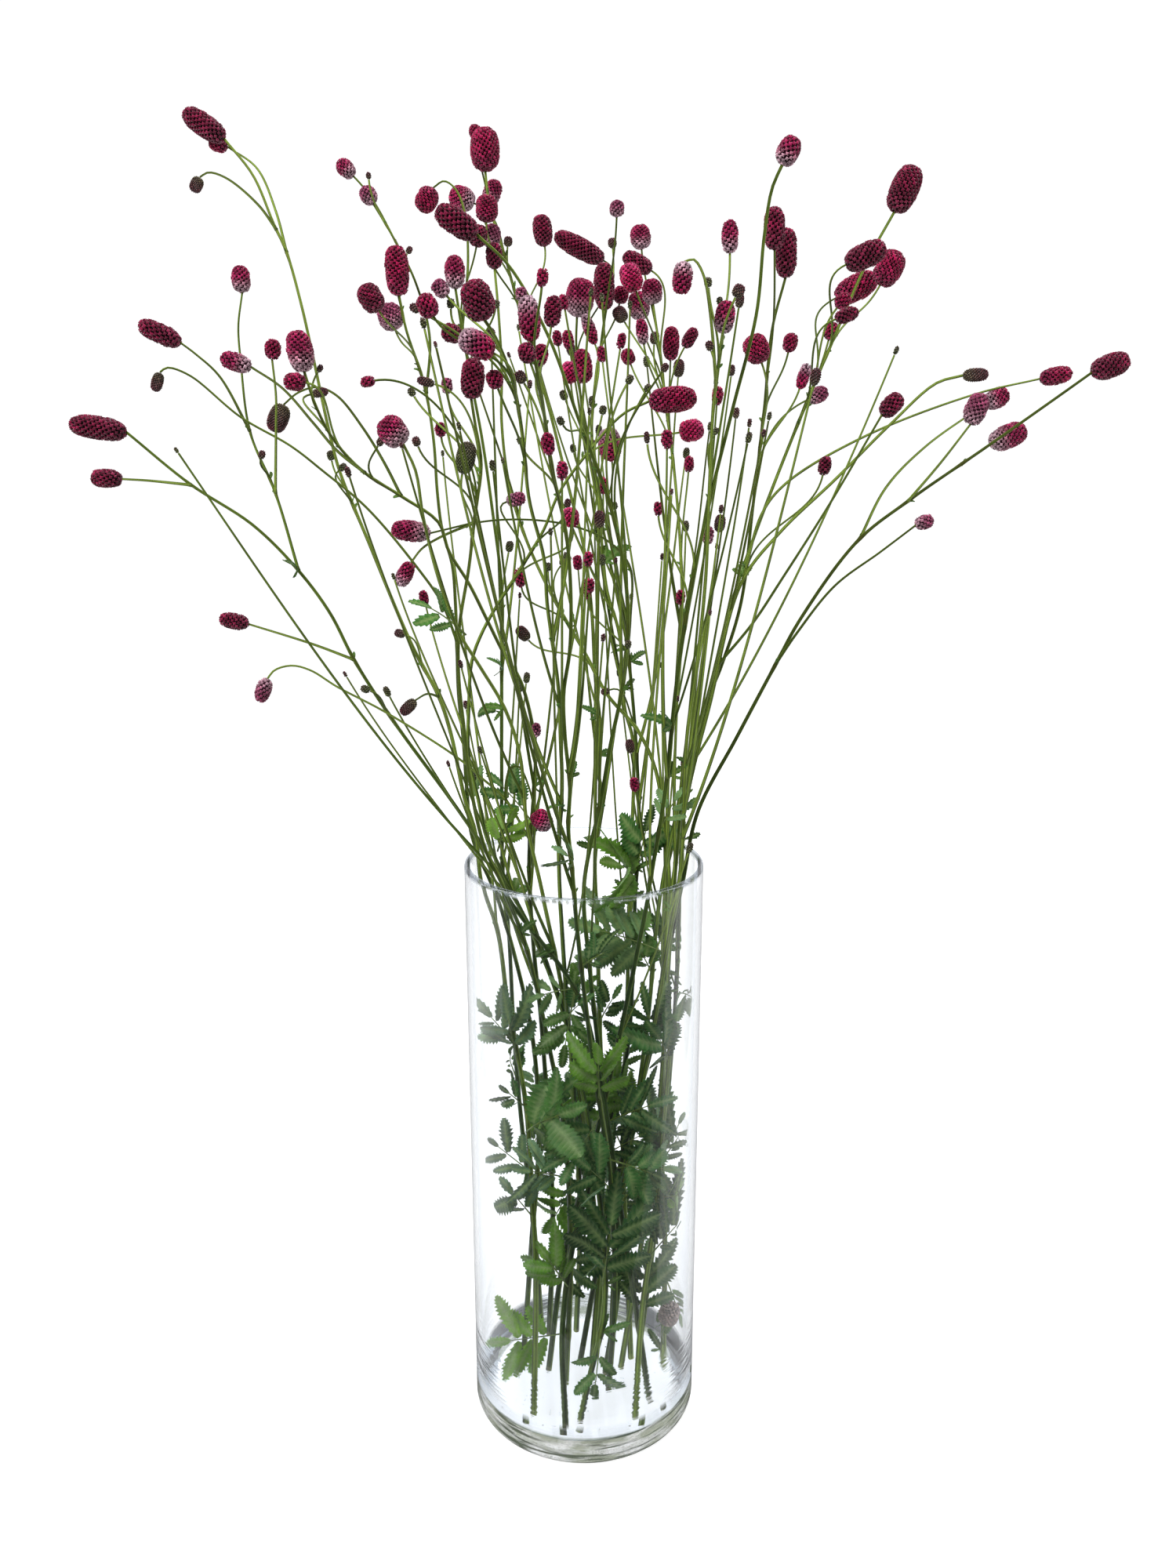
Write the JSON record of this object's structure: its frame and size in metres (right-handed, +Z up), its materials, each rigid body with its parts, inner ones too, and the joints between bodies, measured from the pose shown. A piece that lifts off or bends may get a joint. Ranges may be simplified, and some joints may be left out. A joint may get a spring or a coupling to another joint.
{
  "type": "burnet flower in vase",
  "caption": "Loose spray of great burnet cut stems with egg-shaped burgundy flower heads and toothed leaflets, standing in a tall clear glass cylinder vase with a thick base.",
  "frame": {"origin": "centre of the vase's flat underside", "axes": "+Z up along the vase's axis, -Y towards the side that the spray is seen from, +X to the right from there"},
  "size_m": [0.5956, 0.3226, 0.8435],
  "materials": {
    "clear_glass": "clear, polished, with a faint blue-grey tint",
    "stem_green": "satin plant skin, olive to dark green",
    "bloom_burgundy": "dull, knobbly, crimson to burgundy"
  },
  "bodies": {
    "root": {"vase": "clear_glass", "stem_01": "stem_green", "stem_02": "stem_green", "stem_03": "stem_green", "stem_04": "stem_green", "stem_05": "stem_green", "stem_06": "stem_green", "stem_07": "stem_green", "stem_08": "stem_green", "stem_09": "stem_green", "stem_10": "stem_green", "stem_11": "stem_green", "stem_12": "stem_green", "stem_13": "stem_green", "stem_14": "stem_green", "stem_15": "stem_green", "stem_16": "stem_green", "stem_17": "stem_green", "stem_18": "stem_green", "stem_19": "stem_green", "stem_20": "stem_green", "stem_21": "stem_green", "stem_22": "stem_green", "bloom_01": "bloom_burgundy", "bloom_02": "bloom_burgundy", "bloom_03": "bloom_burgundy", "bloom_04": "bloom_burgundy", "bloom_05": "bloom_burgundy", "bloom_06": "bloom_burgundy", "bloom_07": "bloom_burgundy", "bloom_08": "bloom_burgundy", "bloom_09": "bloom_burgundy", "bloom_10": "bloom_burgundy", "bloom_11": "bloom_burgundy", "bloom_12": "bloom_burgundy", "bloom_13": "bloom_burgundy", "bloom_14": "bloom_burgundy", "bloom_15": "bloom_burgundy", "bloom_16": "bloom_burgundy", "bloom_17": "bloom_burgundy", "bloom_18": "bloom_burgundy", "bloom_19": "bloom_burgundy", "bloom_20": "bloom_burgundy", "bloom_21": "bloom_burgundy", "bloom_22": "bloom_burgundy", "bloom_23": "bloom_burgundy", "bloom_24": "bloom_burgundy", "bloom_25": "bloom_burgundy", "bloom_26": "bloom_burgundy", "bloom_27": "bloom_burgundy", "bloom_28": "bloom_burgundy", "bloom_29": "bloom_burgundy", "bloom_30": "bloom_burgundy", "bloom_31": "bloom_burgundy", "bloom_32": "bloom_burgundy", "bloom_33": "bloom_burgundy"}
  },
  "joints": []
}
